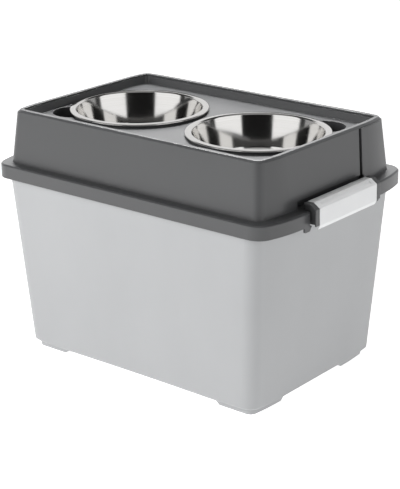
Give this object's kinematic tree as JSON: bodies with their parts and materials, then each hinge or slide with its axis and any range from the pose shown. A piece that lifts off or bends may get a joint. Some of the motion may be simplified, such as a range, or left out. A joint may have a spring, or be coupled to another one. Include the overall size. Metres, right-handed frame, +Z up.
{
  "type": "elevated dog feeder with storage",
  "caption": "Raised feeder: tapered storage bin, latched lid with a sunk deck, and lift-out steel bowls in closed wells.",
  "frame": {"origin": "middle of the footprint, on the surface that the feet stand on", "axes": "+X along the long side, from the left bowl to the right bowl; +Z up; front towards -Y"},
  "size_m": [0.553, 0.3574, 0.3849],
  "materials": {
    "bin_plastic": "satin moulded plastic, light grey",
    "lid_plastic": "semi-gloss moulded plastic, dark grey",
    "gasket_rubber": "soft seal, matt",
    "bowl_steel": "polished stainless steel with a fine spun grain",
    "latch_plastic": "satin moulded plastic, white"
  },
  "bodies": {
    "bin": {"storage_bin": "bin_plastic"},
    "lid": {"feeder_lid": "lid_plastic", "lid_gasket": "gasket_rubber"},
    "left_bowl": {"bowl_left": "bowl_steel"},
    "right_bowl": {"bowl_right": "bowl_steel"},
    "left_latch": {"latch_left": "latch_plastic"},
    "right_latch": {"latch_right": "latch_plastic"}
  },
  "joints": [
    {"name": "lid_lift", "type": "slide", "parent": "bin", "child": "lid", "axis": [0, 0, 1], "range_m": [0, 0.15]},
    {"name": "bowl_left_lift", "type": "slide", "parent": "lid", "child": "left_bowl", "axis": [0, 0, 1], "range_m": [0, 0.09]},
    {"name": "bowl_right_lift", "type": "slide", "parent": "lid", "child": "right_bowl", "axis": [0, 0, 1], "range_m": [0, 0.09]},
    {"name": "latch_left_swing", "type": "hinge", "parent": "lid", "child": "left_latch", "pos_m": [-0.258, 0, 0.3078], "axis": [0, 1, 0], "range_deg": [0, 105]},
    {"name": "latch_right_swing", "type": "hinge", "parent": "lid", "child": "right_latch", "pos_m": [0.258, 0, 0.3078], "axis": [0, -1, 0], "range_deg": [0, 105]}
  ]
}
